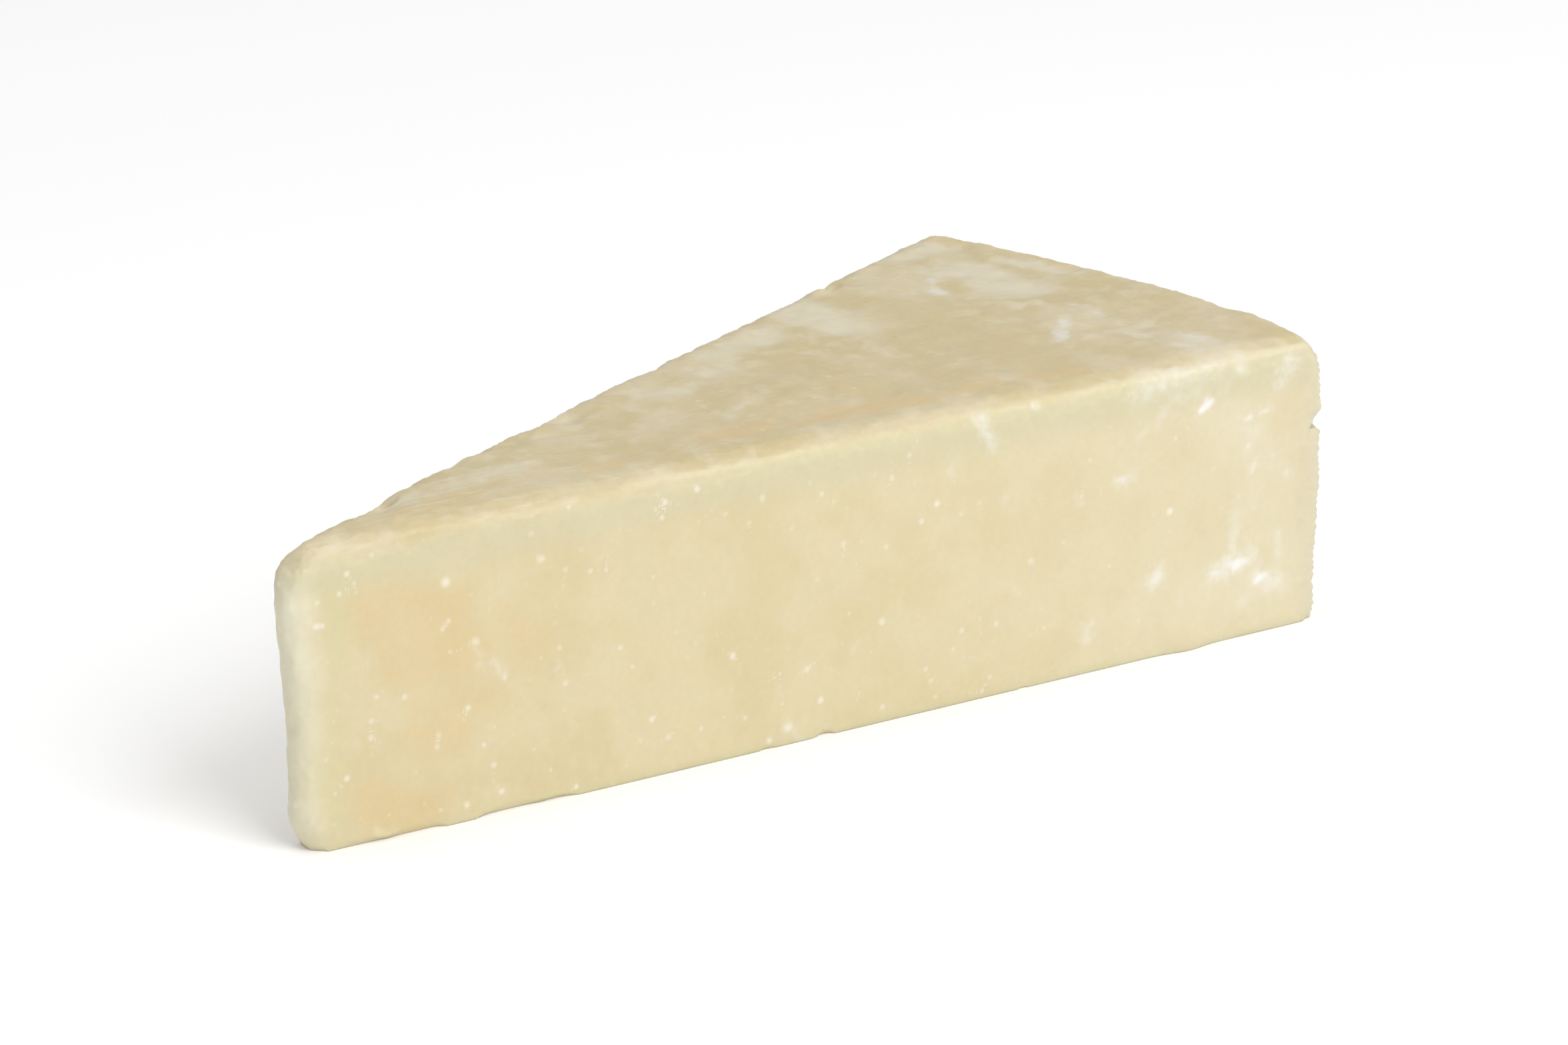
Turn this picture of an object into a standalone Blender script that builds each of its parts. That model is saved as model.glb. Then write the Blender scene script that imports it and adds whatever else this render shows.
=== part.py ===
"""Wedge of hard sheep's milk cheese, cut from the end slab of a round wheel.

The top is the wheel's flat rind and the far end is the rind of its rim.
The two long sides and the foot are cut paste, and the tip, near the wheel's centre, is blunt.
Lengths are in metres, +Z is up and +X runs from the tip to the rim.
While it is shaped, the wheel's axis is the Z axis.
"""

import math

import bmesh
import bpy
from mathutils import Vector, noise

# Wheel and cuts
WHEEL_RADIUS = 0.160
HEIGHT = 0.0386
WEDGE_ANGLE = math.radians(24.7)

# Blunt tip, an arc in plan that meets both cuts
TIP_RADIUS = 0.00255

# Wear of the tip: how far it is set back at its corners, each over a height, and its lower half between
# two heights, how far along X that reaches, and how far the top sinks between two distances along X
TIP_TOP_WEAR = (0.0028, 0.005)
TIP_FOOT_WEAR = (0.0022, 0.006)
TIP_LEAN = (0.0015, 0.015, 0.031)
TIP_REACH = 0.012
TIP_SINK = (0.00045, 0.023, 0.027)

# Edges, rounded by handling
CUT_EDGE_RADIUS = 0.00325
SHOULDER_RADIUS = 0.0040
FOOT_RADIUS = 0.0010
RIM_CORNER_RADIUS = 0.0007

# Cut faces: a slight bow from end to end, the knife's long waves, and the paste's own grain
BOW = 0.0002
KNIFE_WAVE = 0.00030
KNIFE_WAVE_LENGTH = 0.030
GRAIN = 0.00012
GRAIN_LENGTH = 0.0060
NOISE_FADE = 0.9
NOISE_STEP = 2.1
NOISE_LAYERS = 3
SEED_STEP = 7.3

# Rind: low swells, the rim's bulge at half height, and the ribs that the mould left round it
SWELL = 0.00028
SWELL_LENGTH = 0.014
RIM_BULGE = 0.0005
RIB_HEIGHT = 0.00025
RIB_PITCH = 0.0021
RIB_DRIFT = 1.5

# Where one kind of surface gives way to the next: by the normal's slope, and by the distance to the rim
TOP_SLOPE = (0.3, 0.9)
RIM_BAND = (0.0008, 0.0035)

# Places on the cuts' edges that are chipped: distance from the axis, side, height, reach and depth
CHIPS = (
    (0.0262, 1, 0.0386, 0.0036, 0.00100),
    (0.0620, 1, 0.0386, 0.0030, 0.00040),
    (0.0900, 1, 0.0386, 0.0030, 0.00035),
    (0.1290, 1, 0.0386, 0.0036, 0.00080),
    (0.1600, -1, 0.0268, 0.0017, 0.00140),
    (0.1600, 1, 0.0120, 0.0024, 0.00080),
    (0.0760, 1, 0.0000, 0.0035, 0.00060),
    (0.1150, 1, 0.0000, 0.0030, 0.00050),
)
CHIP_WALL = (0.55, 1.0)
CHIP_RAGGEDNESS = 0.25

# Densities of the working mesh and of the finished one
WHEEL_SEGMENTS = 480
CORNER_SEGMENTS = 8
TIP_CORNER_SHARE = 0.95
SHARP_CORNER = math.radians(30)
GRID = 0.0007
KEPT_TRIANGLES = 8600

# The slab starts this much too deep, and its foot is then cut flat
SPARE_DEPTH = 0.0002
SNAP_DISTANCE = 0.00008
MERGE_DISTANCE = 0.00002

PASTE_COLOUR = (0.80, 0.69, 0.45, 1.0)
PASTE_ROUGHNESS = 0.55

HALF_ANGLE = WEDGE_ANGLE / 2
TIP_CENTRE = TIP_RADIUS / math.sin(HALF_ANGLE)
TIP_END = TIP_CENTRE - TIP_RADIUS


def clear_scene():
    for item in list(bpy.data.objects):
        bpy.data.objects.remove(item)


def make_collection(name):
    group = bpy.data.collections.new(name)
    bpy.context.scene.collection.children.link(group)
    return group


def cheese_material():
    material = bpy.data.materials.new("hard_cheese")
    material.use_nodes = True
    shader = material.node_tree.nodes["Principled BSDF"]
    shader.inputs["Base Color"].default_value = PASTE_COLOUR
    shader.inputs["Roughness"].default_value = PASTE_ROUGHNESS
    shader.inputs["Metallic"].default_value = 0.0
    return material


def smooth_step(value, low, high):
    share = min(1.0, max(0.0, (value - low) / (high - low)))
    return share * share * (3 - 2 * share)


def cut_normal(side):
    """Outward normal of one of the two long cuts, side -1 or 1."""
    return Vector((-math.sin(HALF_ANGLE), side * math.cos(HALF_ANGLE), 0))


def cut_away(bm, point, normal):
    """Cuts off what lies beyond a plane and closes the cut."""
    everything = bm.verts[:] + bm.edges[:] + bm.faces[:]
    bmesh.ops.bisect_plane(
        bm,
        geom=everything,
        dist=SNAP_DISTANCE,
        plane_co=point,
        plane_no=normal,
        use_snap_center=True,
        clear_outer=True,
    )
    open_edges = [edge for edge in bm.edges if edge.is_boundary]
    bmesh.ops.holes_fill(bm, edges=open_edges, sides=0)


def round_upright_edges(bm, near_x, radius):
    """Rounds the upright corners that lie near one distance along X."""
    corners = [
        edge
        for edge in bm.edges
        if abs(edge.verts[0].co.z - edge.verts[1].co.z) > HEIGHT / 2
        and all(abs(vert.co.x - near_x) < TIP_RADIUS for vert in edge.verts)
        and edge.calc_face_angle(0) > SHARP_CORNER
    ]
    bmesh.ops.bevel(bm, geom=corners, offset=radius, segments=CORNER_SEGMENTS, profile=0.5, affect="EDGES")


def plain_wedge():
    """A slab of the wheel, cut twice through its centre and once across the tip."""
    bm = bmesh.new()
    depth = HEIGHT + SPARE_DEPTH
    bmesh.ops.create_cone(
        bm,
        cap_ends=True,
        segments=WHEEL_SEGMENTS,
        radius1=WHEEL_RADIUS,
        radius2=WHEEL_RADIUS,
        depth=depth,
    )
    bmesh.ops.translate(bm, verts=bm.verts, vec=(0, 0, depth / 2 - SPARE_DEPTH))
    for side in (-1, 1):
        cut_away(bm, (0, 0, 0), cut_normal(side))
    cut_away(bm, (TIP_END, 0, 0), (-1, 0, 0))
    round_upright_edges(bm, TIP_END, TIP_END * math.tan(HALF_ANGLE) * TIP_CORNER_SHARE)
    round_upright_edges(bm, WHEEL_RADIUS * math.cos(HALF_ANGLE), RIM_CORNER_RADIUS)
    return bm


def modified_mesh(mesh, group, kind, **settings):
    """The mesh that one modifier makes of another."""
    item = bpy.data.objects.new("work", mesh)
    group.objects.link(item)
    modifier = item.modifiers.new(kind.lower(), kind)
    for name, value in settings.items():
        setattr(modifier, name, value)
    view = bpy.context.evaluated_depsgraph_get()
    result = bpy.data.meshes.new_from_object(item.evaluated_get(view))
    bpy.data.objects.remove(item)
    return result


def even_mesh(bm, group):
    """The plain wedge as an even grid, fine enough to be shaped point by point."""
    mesh = bpy.data.meshes.new("plain_wedge")
    bm.to_mesh(mesh)
    bm.free()
    return modified_mesh(mesh, group, "REMESH", mode="VOXEL", voxel_size=GRID)


def cut_depth(place):
    """How deep a point lies inside the nearer cut or the tip's arc, and the way out there."""
    side = 1 if place.y > 0 else -1
    way_out = cut_normal(side)
    flat = Vector((place.x, place.y, 0))
    from_tip = flat - Vector((TIP_CENTRE, 0, 0))
    if from_tip.length > 0 and -from_tip.x / from_tip.length > math.sin(HALF_ANGLE):
        return TIP_RADIUS - from_tip.length, from_tip.normalized()
    return -flat.dot(way_out), way_out


def rounded_pair(depth, below, radius):
    """Turns the square corner between two surfaces, each a depth away, into a round one."""
    across, down = radius - depth, radius - below
    if across <= 0 or down <= 0:
        return depth, below
    spare = max(across, down) / math.hypot(across, down)
    return radius - across * spare, radius - down * spare


def top_height(to_rim):
    """Height of the top where the rim is a given distance away, with the shoulder rounded."""
    across = max(0.0, SHOULDER_RADIUS - max(0.0, to_rim))
    return HEIGHT - SHOULDER_RADIUS + math.sqrt(SHOULDER_RADIUS**2 - across**2)


def rounded(place):
    """Moves a point of the plain wedge to where it lies once the edges are rounded."""
    outwards = Vector((place.x, place.y, 0)).normalized()
    to_rim = WHEEL_RADIUS - math.hypot(place.x, place.y)
    in_rim, below = rounded_pair(to_rim, HEIGHT - place.z, SHOULDER_RADIUS)
    in_rim, above = rounded_pair(in_rim, HEIGHT - below + SPARE_DEPTH, FOOT_RADIUS)
    place = place - outwards * (in_rim - to_rim)
    place.z = above - SPARE_DEPTH

    depth, way_out = cut_depth(place)
    half_width = max(place.x, TIP_CENTRE) * math.sin(HALF_ANGLE)
    top = top_height(in_rim)
    in_cut, below = rounded_pair(depth, top - place.z, min(CUT_EDGE_RADIUS, half_width))
    in_cut, above = rounded_pair(in_cut, top - below + SPARE_DEPTH, FOOT_RADIUS)
    place = place - way_out * (in_cut - depth)
    place.z = above - SPARE_DEPTH
    return place


def worn_tip(place):
    """Sets the tip back at its top and foot corners and in its lower half, and sinks the top near it."""
    near_tip = 1 - smooth_step(place.x, TIP_END, TIP_END + TIP_REACH)
    top_wear, top_reach = TIP_TOP_WEAR
    foot_wear, foot_reach = TIP_FOOT_WEAR
    lean, lean_low, lean_high = TIP_LEAN
    from_top = max(0.0, 1 - (HEIGHT - place.z) / top_reach)
    from_foot = max(0.0, 1 - place.z / foot_reach)
    back = top_wear * from_top**2 + foot_wear * from_foot**2
    back += lean * (1 - smooth_step(place.z, lean_low, lean_high))
    sink, sink_start, sink_end = TIP_SINK
    down = sink * (1 - smooth_step(place.x, sink_start, sink_end)) * smooth_step(place.z, HEIGHT / 2, HEIGHT)
    return place + Vector((back * near_tip, 0, -down))


def waves(place, length, seed):
    """Smooth seeded noise between about -1 and 1, with features of the given length."""
    shift = Vector((seed * SEED_STEP, -seed * SEED_STEP, seed))
    return noise.fractal(place / length + shift, NOISE_FADE, NOISE_STEP, NOISE_LAYERS)


def chipped(place):
    """How deep the chips go at a point."""
    depth = 0.0
    for radius, side, height, reach, deepest in CHIPS:
        corner = Vector((radius * math.cos(HALF_ANGLE), side * radius * math.sin(HALF_ANGLE), height))
        away = (place - corner).length / reach
        ragged = away + CHIP_RAGGEDNESS * waves(place, reach, 5)
        depth = max(depth, deepest * (1 - smooth_step(ragged, *CHIP_WALL)))
    return depth


def relief(place, normal):
    """How far the surface stands out at a point, by the kind of surface that is there."""
    upward = smooth_step(normal.z, *TOP_SLOPE)
    away_from_foot = smooth_step(place.z, 0, FOOT_RADIUS * 2)
    to_rim = WHEEL_RADIUS - math.hypot(place.x, place.y)
    rim = (1 - smooth_step(to_rim, *RIM_BAND)) * (1 - upward)
    paste = (1 - upward) * (1 - rim)
    along = (math.hypot(place.x, place.y) - TIP_END) / (WHEEL_RADIUS - TIP_END)
    bow = BOW * (4 * along * (1 - along))
    cut = bow + KNIFE_WAVE * waves(place, KNIFE_WAVE_LENGTH, 1) + GRAIN * waves(place, GRAIN_LENGTH, 2)
    turn = 2 * math.pi * place.z / RIB_PITCH + RIB_DRIFT * waves(place, SWELL_LENGTH, 3)
    ribs = RIB_HEIGHT / 2 * math.cos(turn)
    rind = SWELL * waves(place, SWELL_LENGTH, 4)
    bulge = RIM_BULGE * math.sin(math.pi * min(1.0, max(0.0, place.z / HEIGHT)))
    return paste * cut + upward * rind + rim * away_from_foot * (bulge + rind + ribs) - chipped(place)


def shape_surface(mesh):
    """Rounds the edges, wears the tip and gives every surface its relief."""
    for vert in mesh.vertices:
        vert.co = worn_tip(rounded(vert.co))
    mesh.update()
    normals = [entry.vector.copy() for entry in mesh.vertex_normals]
    for vert, normal in zip(mesh.vertices, normals):
        vert.co = vert.co + normal * relief(vert.co, normal)
    mesh.update()


def thinned(mesh, group):
    """The same surface with fewer triangles, most of them where it bends."""
    mesh.calc_loop_triangles()
    share = KEPT_TRIANGLES / len(mesh.loop_triangles)
    return modified_mesh(mesh, group, "DECIMATE", ratio=share, use_collapse_triangulate=True)


def stand_on_foot(mesh):
    """Cuts the foot flat at zero height and centres the wedge's box over the origin."""
    bm = bmesh.new()
    bm.from_mesh(mesh)
    cut_away(bm, (0, 0, 0), (0, 0, -1))
    bmesh.ops.remove_doubles(bm, verts=bm.verts, dist=MERGE_DISTANCE)
    bmesh.ops.dissolve_degenerate(bm, edges=bm.edges, dist=MERGE_DISTANCE)
    bmesh.ops.triangulate(bm, faces=bm.faces)
    bmesh.ops.recalc_face_normals(bm, faces=bm.faces)
    for axis in (0, 1):
        places = [vert.co[axis] for vert in bm.verts]
        shift = Vector((0, 0, 0))
        shift[axis] = -(min(places) + max(places)) / 2
        bmesh.ops.translate(bm, verts=bm.verts, vec=shift)
    bm.to_mesh(mesh)
    bm.free()


def main():
    clear_scene()
    group = make_collection("pecorino_romano")
    fine = even_mesh(plain_wedge(), group)
    shape_surface(fine)
    mesh = thinned(fine, group)
    stand_on_foot(mesh)
    mesh.name = "cheese_wedge"
    mesh.shade_smooth()
    mesh.materials.clear()
    mesh.materials.append(cheese_material())
    wedge = bpy.data.objects.new("cheese_wedge", mesh)
    group.objects.link(wedge)


main()
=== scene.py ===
from math import cos, radians, sin

import bpy
import numpy as np
from mathutils import Matrix, Vector, kdtree, noise


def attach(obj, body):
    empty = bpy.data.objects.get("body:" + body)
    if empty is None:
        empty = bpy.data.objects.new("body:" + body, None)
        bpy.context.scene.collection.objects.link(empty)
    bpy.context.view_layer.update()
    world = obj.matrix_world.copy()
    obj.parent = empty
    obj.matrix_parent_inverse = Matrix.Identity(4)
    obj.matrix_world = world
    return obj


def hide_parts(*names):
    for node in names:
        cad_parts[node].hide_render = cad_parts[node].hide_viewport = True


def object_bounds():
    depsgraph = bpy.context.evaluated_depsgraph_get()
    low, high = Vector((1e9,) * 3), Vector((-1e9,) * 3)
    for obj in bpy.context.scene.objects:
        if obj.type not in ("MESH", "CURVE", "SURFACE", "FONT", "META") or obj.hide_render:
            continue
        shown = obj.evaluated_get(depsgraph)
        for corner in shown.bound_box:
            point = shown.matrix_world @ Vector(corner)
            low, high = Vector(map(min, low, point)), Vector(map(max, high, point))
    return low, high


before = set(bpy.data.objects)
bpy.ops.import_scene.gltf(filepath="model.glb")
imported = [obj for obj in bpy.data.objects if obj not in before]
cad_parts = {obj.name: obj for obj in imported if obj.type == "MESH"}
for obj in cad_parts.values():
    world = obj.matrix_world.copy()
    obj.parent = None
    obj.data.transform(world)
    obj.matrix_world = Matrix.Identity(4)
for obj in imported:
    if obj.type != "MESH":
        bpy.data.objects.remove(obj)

scene = bpy.context.scene
cadLow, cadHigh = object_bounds()
print("frame loaded")

# the photo's picture size, and where its camera stood
picture = {"width": 2352, "height": 1568}
view = {
    "lens": 145.6,              # millimetres, on a sensor 36 mm wide
    "sensor": 36.0,
    "place": (-0.5278, -0.5222, 0.2853),
    "turn": radians(45.742),    # from +Y towards +X
    "down": radians(19.479),
    "roll": radians(0.12),
    "clip": (0.01, 20),
}
# the wheel that the wedge was cut from
wheel = {"radius": 0.1605, "halfAngle": radians(12.35)}
axisX = cadHigh.x - wheel["radius"]     # the wheel's axis
topZ = cadHigh.z
half = wheel["halfAngle"]
outOfCut = np.array((-sin(half), -cos(half), 0))        # the shown cut faces this way
outOfBack = np.array((-sin(half), cos(half), 0))        # and the hidden one this way
millimetre = 0.001


# camera
cameraData = bpy.data.cameras.new("camera")
cameraData.lens = view["lens"]
cameraData.sensor_width = view["sensor"]
cameraData.clip_start, cameraData.clip_end = view["clip"]
camera = bpy.data.objects.new("camera", cameraData)
scene.collection.objects.link(camera)
camera.matrix_world = (
    Matrix.Translation(view["place"])
    @ Matrix.Rotation(-view["turn"], 4, "Z")
    @ Matrix.Rotation(radians(90) - view["down"], 4, "X")
    @ Matrix.Rotation(view["roll"], 4, "Z")
)
scene.camera = camera
cameraTurn = camera.matrix_world.to_3x3()
print("camera placed")


def sightLine(px, py):
    # direction through a pixel of the photo
    focal = view["lens"] / view["sensor"] * picture["width"]
    local = Vector((px - picture["width"] / 2, picture["height"] / 2 - py, -focal))
    return (cameraTurn @ local).normalized()


def onPlane(px, py, point, normal):
    # where a pixel's sight line meets a plane
    start, line = Vector(view["place"]), sightLine(px, py)
    return start + line * ((Vector(point) - start).dot(normal) / line.dot(normal))


def onFront(px, py):
    return onPlane(px, py, (axisX, 0, 0), Vector(outOfCut))


def onTop(px, py):
    return onPlane(px, py, (0, 0, topZ), Vector((0, 0, 1)))


# the wedge, lengths in metres
wedge = {
    "voxel": 0.00079,               # keeps the piece under 200,000 triangles
    "mergeGap": 0.000001,
    "footCut": 0.0006,              # the foot's worn edge is cut off at this height and drawn down straight
    "footSkin": 0.00015,            # what lies this low is pressed flat on the foot
    "fineFront": 0.0025,            # how deep under the shown cut the mesh is made finer
    "fineFrontFoot": 0.0001,        # and how high over the foot that starts
    "fineEdge": 0.0045,             # how wide a strip along the far edge is made finer
    "fineCorner": 0.0030,
    "finestCorner": 0.0013,
    "smoothing": 0.5,
    "flatPasses": 14,               # smoothing on the plain faces, and near the edges
    "edgePasses": 2,
    "edgeReach": (0.0030, 0.0055),
    "noseMargin": 0.001,
    "ribPitch": 0.00105,            # the fine marks of the cloth on the rim
    "ribHeight": 0.00013,
    "ribStrength": 0.6,
    "ribReach": (0.0004, 0.0016),
    "wobbleSize": 0.004,            # how the ribs waver
    "wobbleTurn": 0.9,
    "waveSize": 0.012,
    "waveHeight": 0.00012,
    "grainSize": 0.0024,
    "grainHeight": (0.00006, 0.00014),      # on the plain cuts, and on the rind and near the edges
    "crumbSize": 0.0010,
    "crumbHeight": (0.00002, 0.00009),
    "lipDepth": 0.0013,             # a low ridge where the rind ends on the cuts
    "lipWidth": 0.0005,
    "lipHeight": 0.00016,
    "lipMean": 0.7,
    "lipWaver": 0.007,
    "lipSlope": (0.3, 0.8),         # how far a face has to turn to a cut to carry the ridge
    "wrinkleSize": 0.0016,
    "wrinkleStretch": 0.16,
    "wrinkleHeight": 0.00008,
    "topSlope": 0.5,                # a face that turns further up than this is rough all over
    "footHold": (0.0002, 0.0010),   # nothing is raised below the first height
    "footCalm": (-0.004, 0.006),    # and less grain below the second of these
    "seeds": {"grain": 11, "crumb": 12, "wave": 13, "wobble": 14, "lip": 16, "wrinkle": 17},
}
# the noise that shapes the wedge: how far each seed shifts it, and how it is summed
lumpiness = {"shift": (7.3, 3.1, 5.7), "dimension": 1.0, "lacunarity": 2.0}


def selectOnly(piece):
    bpy.ops.object.select_all(action="DESELECT")
    piece.select_set(True)
    bpy.context.view_layer.objects.active = piece


def applyModifier(piece, kind, **settings):
    modifier = piece.modifiers.new("step", kind)
    for name, value in settings.items():
        setattr(modifier, name, value)
    selectOnly(piece)
    bpy.ops.object.modifier_apply(modifier=modifier.name)


def meshPoints(piece):
    flat = np.empty(len(piece.data.vertices) * 3)
    piece.data.vertices.foreach_get("co", flat)
    return flat.reshape(-1, 3)


def meshNormals(piece):
    flat = np.empty(len(piece.data.vertices) * 3)
    piece.data.vertex_normals.foreach_get("vector", flat)
    return flat.reshape(-1, 3)


def setPoints(piece, points):
    piece.data.vertices.foreach_set("co", points.ravel())
    piece.data.update()


def smoothStep(low, high, value):
    t = np.clip((value - low) / (high - low), 0, 1)
    return t * t * (3 - 2 * t)


def noiseAt(points, size, seed, octaves=3):
    # smooth noise of about -1 to 1, at a given size of lump
    shift = Vector([seed * part for part in lumpiness["shift"]])
    kind = (lumpiness["dimension"], lumpiness["lacunarity"], octaves)
    return np.array([noise.fractal(Vector(p) / size + shift, *kind) for p in points])


def copyOfNode(node, name):
    # the CAD node's mesh in a new object, merged into one closed skin
    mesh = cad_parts[node].data.copy()
    piece = bpy.data.objects.new(name, mesh)
    scene.collection.objects.link(piece)
    piece.data.materials.clear()
    selectOnly(piece)
    bpy.ops.object.mode_set(mode="EDIT")
    bpy.ops.mesh.select_all(action="SELECT")
    bpy.ops.mesh.remove_doubles(threshold=wedge["mergeGap"])
    bpy.ops.mesh.select_all(action="DESELECT")
    bpy.ops.object.mode_set(mode="OBJECT")
    return piece


def squareFoot(piece):
    # the foot's edge is cut away and the walls are drawn down to the table
    selectOnly(piece)
    bpy.ops.object.mode_set(mode="EDIT")
    bpy.ops.mesh.select_all(action="SELECT")
    bpy.ops.mesh.bisect(plane_co=(0, 0, wedge["footCut"]), plane_no=(0, 0, 1), clear_inner=True)
    bpy.ops.mesh.select_all(action="DESELECT")
    bpy.ops.mesh.select_non_manifold()
    bpy.ops.mesh.extrude_region_move(TRANSFORM_OT_translate={"value": (0, 0, -wedge["footCut"])})
    bpy.ops.mesh.edge_face_add()
    bpy.ops.mesh.quads_convert_to_tris()
    bpy.ops.mesh.select_all(action="SELECT")
    bpy.ops.mesh.normals_make_consistent(inside=False)
    bpy.ops.mesh.select_all(action="DESELECT")
    bpy.ops.object.mode_set(mode="OBJECT")


def pressFoot(piece, points):
    # the wedge stands flat on its foot
    points[:, 2] = np.maximum(points[:, 2], 0)
    points[points[:, 2] < wedge["footSkin"], 2] = 0
    setPoints(piece, points)


def depths(points):
    # how deep each point lies under the top, the rim, the two cuts and the nose, and how high over the foot
    fromAxis = points - np.array((axisX, 0, 0))
    radial = np.hypot(fromAxis[:, 0], fromAxis[:, 1])
    return {
        "top": topZ - points[:, 2],
        "rim": wheel["radius"] - radial,
        "front": -(fromAxis @ outOfCut),
        "back": -(fromAxis @ outOfBack),
        "nose": radial - radial.min(),
        "foot": points[:, 2],
    }


def refine(piece, choose):
    # splits the chosen faces in four
    centres = np.empty(len(piece.data.polygons) * 3)
    piece.data.polygons.foreach_get("center", centres)
    chosen = choose(depths(centres.reshape(-1, 3)))
    selectOnly(piece)
    bpy.ops.object.mode_set(mode="EDIT")
    bpy.ops.mesh.select_all(action="DESELECT")
    bpy.ops.mesh.select_mode(type="FACE")
    bpy.ops.object.mode_set(mode="OBJECT")
    piece.data.polygons.foreach_set("select", chosen)
    bpy.ops.object.mode_set(mode="EDIT")
    bpy.ops.mesh.subdivide(number_cuts=1)
    bpy.ops.mesh.select_all(action="DESELECT")
    bpy.ops.object.mode_set(mode="OBJECT")


def farFromEdges(points):
    # 1 on the plain faces, 0 near every edge
    d = depths(points)
    ordered = np.sort(np.stack([d["top"], d["rim"], d["front"], d["back"], d["foot"]]), axis=0)
    return smoothStep(*wedge["edgeReach"], np.minimum(ordered[1], d["nose"] + wedge["noseMargin"]))


def addGroup(piece, name, weights):
    group = piece.vertex_groups.new(name=name)
    for index, weight in enumerate(weights):
        group.add((index,), float(weight), "REPLACE")


cheese = copyOfNode("cheese_wedge", "pecorino_wedge")
squareFoot(cheese)
# the shown cut is turned square to the grid of the new mesh, which keeps its long edges straight
cheese.data.transform(Matrix.Rotation(half, 4, "Z"))
applyModifier(cheese, "REMESH", mode="VOXEL", voxel_size=wedge["voxel"])
cheese.data.transform(Matrix.Rotation(-half, 4, "Z"))
refine(cheese, lambda d: (d["front"] < wedge["fineFront"]) & (d["foot"] > wedge["fineFrontFoot"]))
refine(cheese, lambda d: (d["back"] < wedge["fineEdge"]) & (d["top"] < wedge["fineCorner"]))
refine(cheese, lambda d: (d["rim"] < wedge["finestCorner"]) & (d["front"] < wedge["finestCorner"]))
addGroup(cheese, "plain faces", farFromEdges(meshPoints(cheese)))
smoothing = wedge["smoothing"]
applyModifier(cheese, "SMOOTH", factor=smoothing, iterations=wedge["flatPasses"], vertex_group="plain faces")
applyModifier(cheese, "SMOOTH", factor=smoothing, iterations=wedge["edgePasses"])

# small dents and swells: a pixel of the photo, which way it goes, reach and height in millimetres
upwards, outwards = np.array((0, 0, 1.0)), np.array((1.0, 0, 0))
dents = [
    (574, 750, upwards, 1.3, -1.6), (574, 759, upwards, 1.7, -0.9), (562, 757, upwards, 1.2, -0.6),
    (438, 842, upwards, 3.0, -0.85), (690, 695, upwards, 2.0, -0.35), (770, 660, upwards, 1.8, -0.7),
    (812, 643, upwards, 1.4, 0.35), (848, 624, upwards, 2.2, -0.9), (1110, 500, upwards, 2.0, 0.15),
    (1230, 441, upwards, 1.3, 0.7), (1252, 430, upwards, 1.0, -0.7), (1440, 366, upwards, 2.2, -0.8),
    (1602, 400, upwards, 1.8, -0.6), (1780, 444, upwards, 6.0, 0.5), (1885, 479, upwards, 5.0, 0.6),
    (1976, 613, outwards, 0.9, 0.5), (1974, 621, outwards, 0.75, 0.85), (1974, 648, outwards, 0.75, 0.6),
    (1973, 722, outwards, 1.8, 0.3), (1968, 915, outwards, 3.0, 0.3), (1780, 958, outOfCut, 3.0, 0.8),
]


# a thin nick in the corner of the rim
nick = {"at": (1974, 635), "beside": (1970, 636), "reach": (1.6, 1.6, 0.24), "height": -1.7, "sharpness": 4}
searchReach = 60        # pixels


def onCheese(px, py):
    # where a pixel's sight line meets the wedge, or the nearest one towards the middle of the picture that does
    spot, middle = Vector((px, py)), Vector((picture["width"] / 2, picture["height"] / 2))
    toMiddle = (middle - spot).normalized()
    for step in range(searchReach):
        met, place = cheese.ray_cast(view["place"], sightLine(*(spot + toMiddle * step)))[:2]
        if met:
            return place
    return onFront(px, py)


def between(pair, share):
    return pair[0] + (pair[1] - pair[0]) * share


def pushOut(points, spot, push, reach, height, sharpness=2):
    # moves what lies near a spot, in millimetres
    away = np.linalg.norm((points - np.array(spot)) / reach, axis=1) / millimetre
    return points + np.exp(-away ** sharpness)[:, None] * push * height * millimetre


def noiseOf(kind, places, octaves=3):
    return noiseAt(places, wedge[kind + "Size"], wedge["seeds"][kind], octaves)


points = meshPoints(cheese)
normals = meshNormals(cheese)
for (px, py, push, reach, height), spot in zip(dents, [onCheese(*dent[:2]) for dent in dents]):
    points = pushOut(points, spot, push, reach, height)
spot = onPlane(*nick["at"], onCheese(*nick["beside"]), outOfCut)
points = pushOut(points, spot, outwards, nick["reach"], nick["height"], nick["sharpness"])
d = depths(points)
# ribs on the rim's corners
wobble = noiseOf("wobble", points, 2)
ribs = np.sin(2 * np.pi * (points[:, 2] / wedge["ribPitch"] + wedge["wobbleTurn"] * wobble))
ribs *= wedge["ribStrength"] * (1 + np.abs(wobble)) * (1 - smoothStep(*wedge["ribReach"], d["rim"]))
# ridge where the rind ends
onCuts = smoothStep(*wedge["lipSlope"], np.maximum(normals @ outOfCut, normals @ outOfBack))
lip = np.exp(-((d["top"] - wedge["lipDepth"]) / wedge["lipWidth"]) ** 2) * onCuts
lip *= wedge["lipMean"] + noiseAt(points, wedge["lipWaver"], wedge["seeds"]["lip"], 2)
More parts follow.
